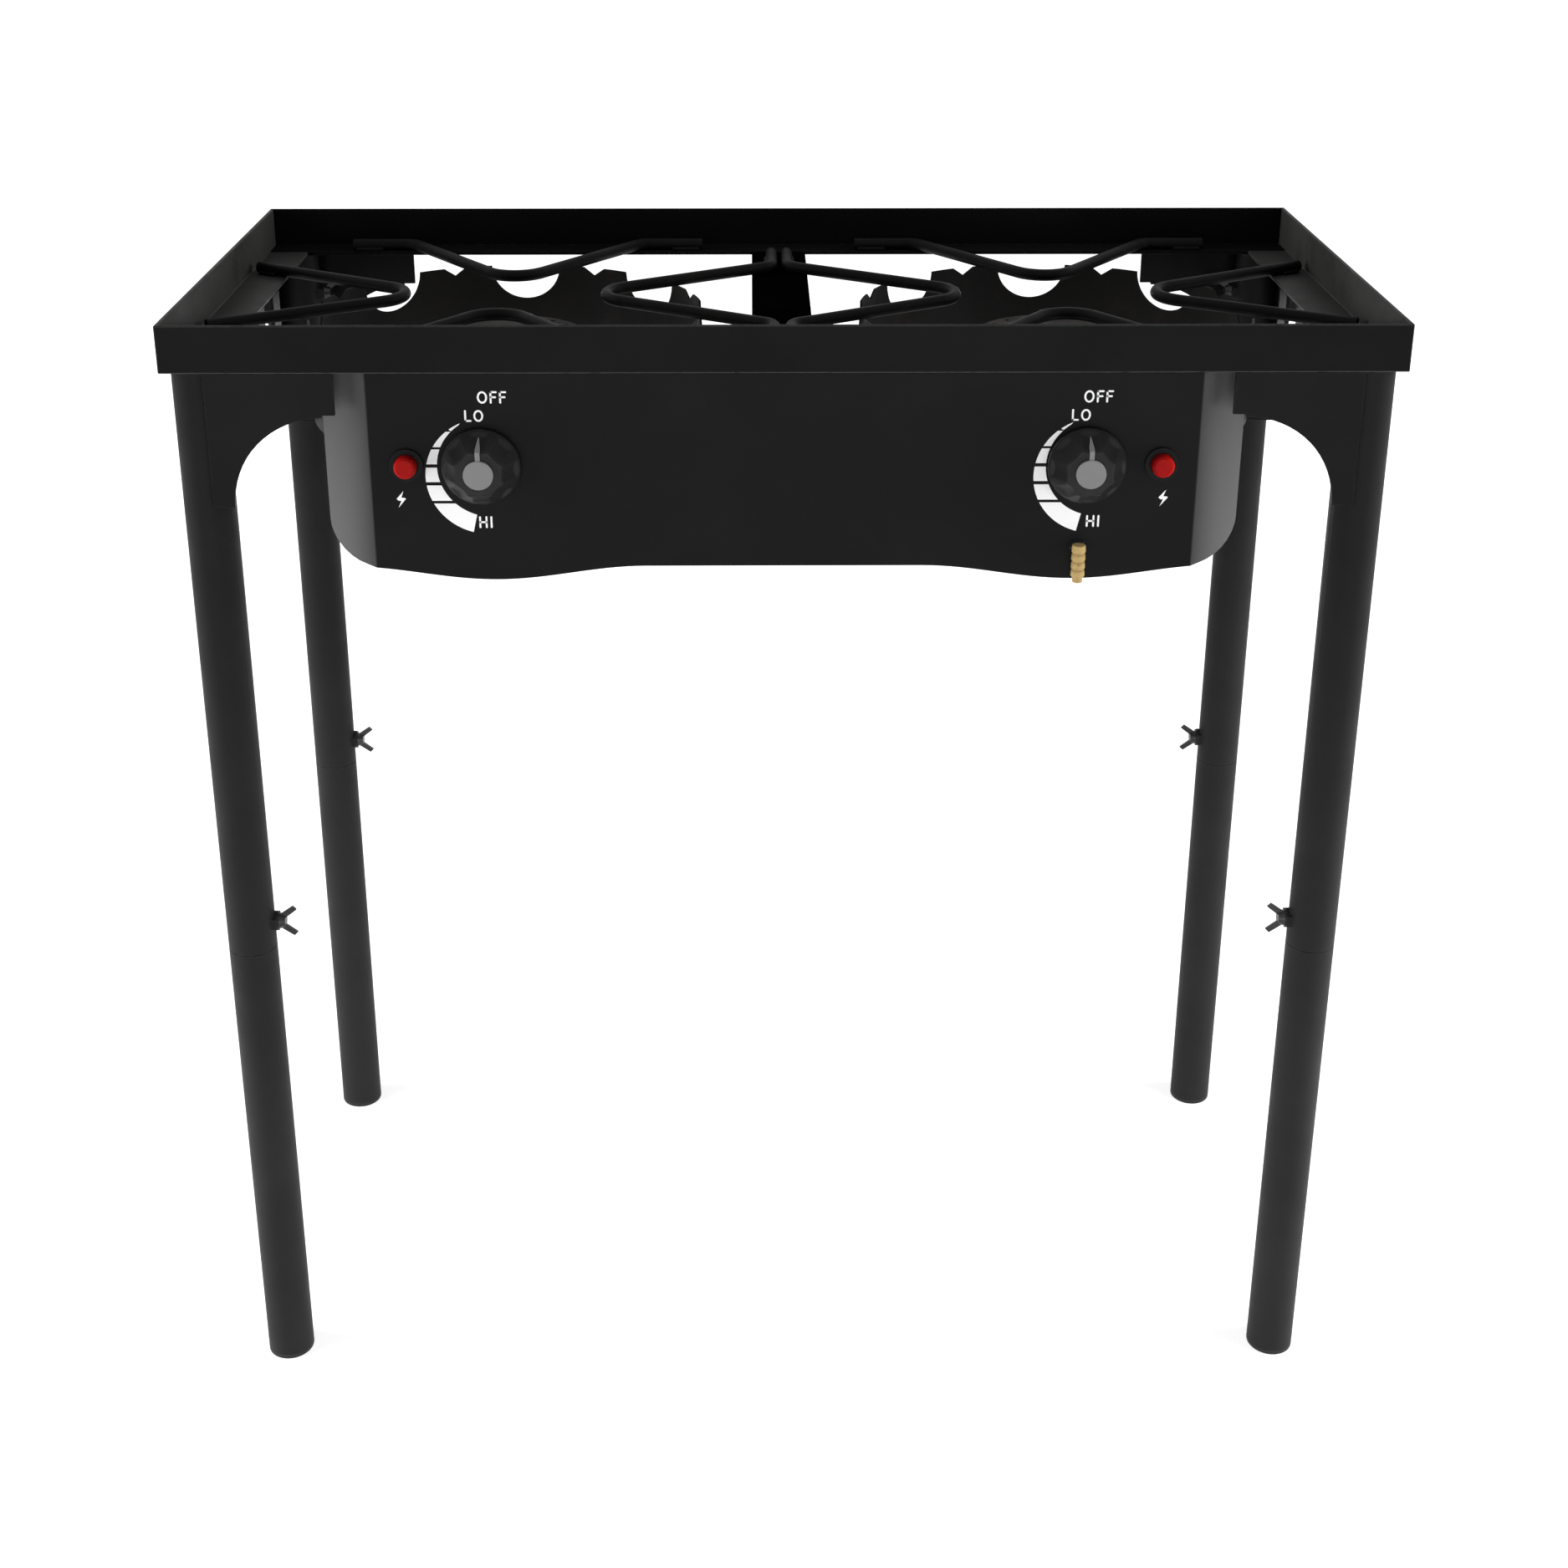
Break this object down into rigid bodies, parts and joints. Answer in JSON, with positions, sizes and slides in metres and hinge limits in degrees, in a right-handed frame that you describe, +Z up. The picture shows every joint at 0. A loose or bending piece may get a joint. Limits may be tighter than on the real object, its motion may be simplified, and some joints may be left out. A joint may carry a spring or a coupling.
{
  "type": "propane burner stand",
  "caption": "Waist-high steel stand with cast gas burners, scalloped wind guards, V-shaped pot rods and a front panel with knobs and push igniters; its tube legs slide apart.",
  "frame": {"origin": "floor level, under the middle of the whole stand's box", "axes": "+X to the right seen from the knobs, +Y away from the knob side, +Z up"},
  "size_m": [0.75, 0.357, 0.765],
  "materials": {
    "powder_coat": "satin black powder coat",
    "rod_coat": "black powder coat on round rod",
    "guard_coat": "black powder coat on sheet",
    "foot_plastic": "black moulded plastic",
    "screw_steel": "black oxide",
    "burner_iron": "as cast, painted black",
    "shutter_steel": "plated sheet",
    "brass": "turned brass",
    "knob_plastic": "black moulded plastic",
    "cap_plastic": "grey moulded plastic",
    "igniter_plastic": "black moulded plastic",
    "button_plastic": "red moulded plastic",
    "ceramic": "glazed ceramic, with a steel spark wire",
    "lead_rubber": "silicone lead"
  },
  "bodies": {
    "stand": {"front_rail": "powder_coat", "rear_rail": "powder_coat", "left_rail": "powder_coat", "right_rail": "powder_coat", "crossbar": "powder_coat", "front_gussets": "powder_coat", "rear_gussets": "powder_coat", "leg_sockets": "powder_coat", "left_front_pot_rod": "rod_coat", "left_rear_pot_rod": "rod_coat", "left_outer_pot_rod": "rod_coat", "left_inner_pot_rod": "rod_coat", "right_front_pot_rod": "rod_coat", "right_rear_pot_rod": "rod_coat", "right_outer_pot_rod": "rod_coat", "right_inner_pot_rod": "rod_coat", "left_wind_guard": "guard_coat", "right_wind_guard": "guard_coat", "left_burner": "burner_iron", "right_burner": "burner_iron", "burner_bars": "powder_coat", "burner_bolts": "screw_steel", "gas_valves": "brass", "gas_pipe": "brass", "hose_barb": "brass", "control_panel": "powder_coat", "panel_screws": "screw_steel", "igniter_bodies": "igniter_plastic", "electrodes": "ceramic", "ignition_leads": "lead_rubber"},
    "front_left_upper_leg": {"front_left_upper_leg": "powder_coat"},
    "front_left_lower_leg": {"front_left_lower_leg": "powder_coat", "front_left_foot": "foot_plastic"},
    "front_left_upper_screw": {"front_left_upper_screw": "screw_steel"},
    "front_left_lower_screw": {"front_left_lower_screw": "screw_steel"},
    "front_right_upper_leg": {"front_right_upper_leg": "powder_coat"},
    "front_right_lower_leg": {"front_right_lower_leg": "powder_coat", "front_right_foot": "foot_plastic"},
    "front_right_upper_screw": {"front_right_upper_screw": "screw_steel"},
    "front_right_lower_screw": {"front_right_lower_screw": "screw_steel"},
    "rear_left_upper_leg": {"rear_left_upper_leg": "powder_coat"},
    "rear_left_lower_leg": {"rear_left_lower_leg": "powder_coat", "rear_left_foot": "foot_plastic"},
    "rear_left_upper_screw": {"rear_left_upper_screw": "screw_steel"},
    "rear_left_lower_screw": {"rear_left_lower_screw": "screw_steel"},
    "rear_right_upper_leg": {"rear_right_upper_leg": "powder_coat"},
    "rear_right_lower_leg": {"rear_right_lower_leg": "powder_coat", "rear_right_foot": "foot_plastic"},
    "rear_right_upper_screw": {"rear_right_upper_screw": "screw_steel"},
    "rear_right_lower_screw": {"rear_right_lower_screw": "screw_steel"},
    "left_knob": {"left_knob": "knob_plastic", "left_knob_cap": "cap_plastic", "left_stem": "brass"},
    "right_knob": {"right_knob": "knob_plastic", "right_knob_cap": "cap_plastic", "right_stem": "brass"},
    "left_igniter_button": {"left_igniter_button": "button_plastic"},
    "right_igniter_button": {"right_igniter_button": "button_plastic"},
    "left_air_shutter": {"left_air_shutter": "shutter_steel"},
    "right_air_shutter": {"right_air_shutter": "shutter_steel"}
  },
  "joints": [
    {"name": "front_left_upper_leg_slide", "type": "slide", "parent": "stand", "child": "front_left_upper_leg", "axis": [0, 0, -1], "range_m": [0, 0.045]},
    {"name": "front_left_lower_leg_slide", "type": "slide", "parent": "front_left_upper_leg", "child": "front_left_lower_leg", "axis": [0, 0, -1], "range_m": [0, 0.05]},
    {"name": "front_left_upper_screw_turn", "type": "hinge", "parent": "front_left_upper_leg", "child": "front_left_upper_screw", "pos_m": [-0.3351, -0.1421, 0.706], "axis": [1, 0, 0], "range_deg": [0, 360]},
    {"name": "front_left_lower_screw_turn", "type": "hinge", "parent": "front_left_upper_leg", "child": "front_left_lower_screw", "pos_m": [-0.3351, -0.1421, 0.352], "axis": [1, 0, 0], "range_deg": [0, 360]},
    {"name": "front_right_upper_leg_slide", "type": "slide", "parent": "stand", "child": "front_right_upper_leg", "axis": [0, 0, -1], "range_m": [0, 0.045]},
    {"name": "front_right_lower_leg_slide", "type": "slide", "parent": "front_right_upper_leg", "child": "front_right_lower_leg", "axis": [0, 0, -1], "range_m": [0, 0.05]},
    {"name": "front_right_upper_screw_turn", "type": "hinge", "parent": "front_right_upper_leg", "child": "front_right_upper_screw", "pos_m": [0.3351, -0.1421, 0.706], "axis": [-1, 0, 0], "range_deg": [0, 360]},
    {"name": "front_right_lower_screw_turn", "type": "hinge", "parent": "front_right_upper_leg", "child": "front_right_lower_screw", "pos_m": [0.3351, -0.1421, 0.352], "axis": [-1, 0, 0], "range_deg": [0, 360]},
    {"name": "rear_left_upper_leg_slide", "type": "slide", "parent": "stand", "child": "rear_left_upper_leg", "axis": [0, 0, -1], "range_m": [0, 0.045]},
    {"name": "rear_left_lower_leg_slide", "type": "slide", "parent": "rear_left_upper_leg", "child": "rear_left_lower_leg", "axis": [0, 0, -1], "range_m": [0, 0.05]},
    {"name": "rear_left_upper_screw_turn", "type": "hinge", "parent": "rear_left_upper_leg", "child": "rear_left_upper_screw", "pos_m": [-0.3351, 0.1621, 0.706], "axis": [1, 0, 0], "range_deg": [0, 360]},
    {"name": "rear_left_lower_screw_turn", "type": "hinge", "parent": "rear_left_upper_leg", "child": "rear_left_lower_screw", "pos_m": [-0.3351, 0.1621, 0.339], "axis": [1, 0, 0], "range_deg": [0, 360]},
    {"name": "rear_right_upper_leg_slide", "type": "slide", "parent": "stand", "child": "rear_right_upper_leg", "axis": [0, 0, -1], "range_m": [0, 0.045]},
    {"name": "rear_right_lower_leg_slide", "type": "slide", "parent": "rear_right_upper_leg", "child": "rear_right_lower_leg", "axis": [0, 0, -1], "range_m": [0, 0.05]},
    {"name": "rear_right_upper_screw_turn", "type": "hinge", "parent": "rear_right_upper_leg", "child": "rear_right_upper_screw", "pos_m": [0.3351, 0.1621, 0.706], "axis": [-1, 0, 0], "range_deg": [0, 360]},
    {"name": "rear_right_lower_screw_turn", "type": "hinge", "parent": "rear_right_upper_leg", "child": "rear_right_lower_screw", "pos_m": [0.3351, 0.1621, 0.339], "axis": [-1, 0, 0], "range_deg": [0, 360]},
    {"name": "left_knob_turn", "type": "hinge", "parent": "stand", "child": "left_knob", "pos_m": [-0.184, -0.16, 0.6775], "axis": [0, -1, 0], "range_deg": [0, 180]},
    {"name": "right_knob_turn", "type": "hinge", "parent": "stand", "child": "right_knob", "pos_m": [0.184, -0.16, 0.6775], "axis": [0, -1, 0], "range_deg": [0, 180]},
    {"name": "left_igniter_push", "type": "slide", "parent": "stand", "child": "left_igniter_button", "axis": [0, 1, 0], "range_m": [0, 0.0045], "stiffness_N_per_m": 900, "springref_m": -0.004},
    {"name": "right_igniter_push", "type": "slide", "parent": "stand", "child": "right_igniter_button", "axis": [0, 1, 0], "range_m": [0, 0.0045], "stiffness_N_per_m": 900, "springref_m": -0.004},
    {"name": "left_air_shutter_turn", "type": "hinge", "parent": "stand", "child": "left_air_shutter", "pos_m": [-0.184, -0.12, 0.6775], "axis": [0, 1, 0], "range_deg": [0, 60]},
    {"name": "right_air_shutter_turn", "type": "hinge", "parent": "stand", "child": "right_air_shutter", "pos_m": [0.184, -0.12, 0.6775], "axis": [0, 1, 0], "range_deg": [0, 60]}
  ]
}
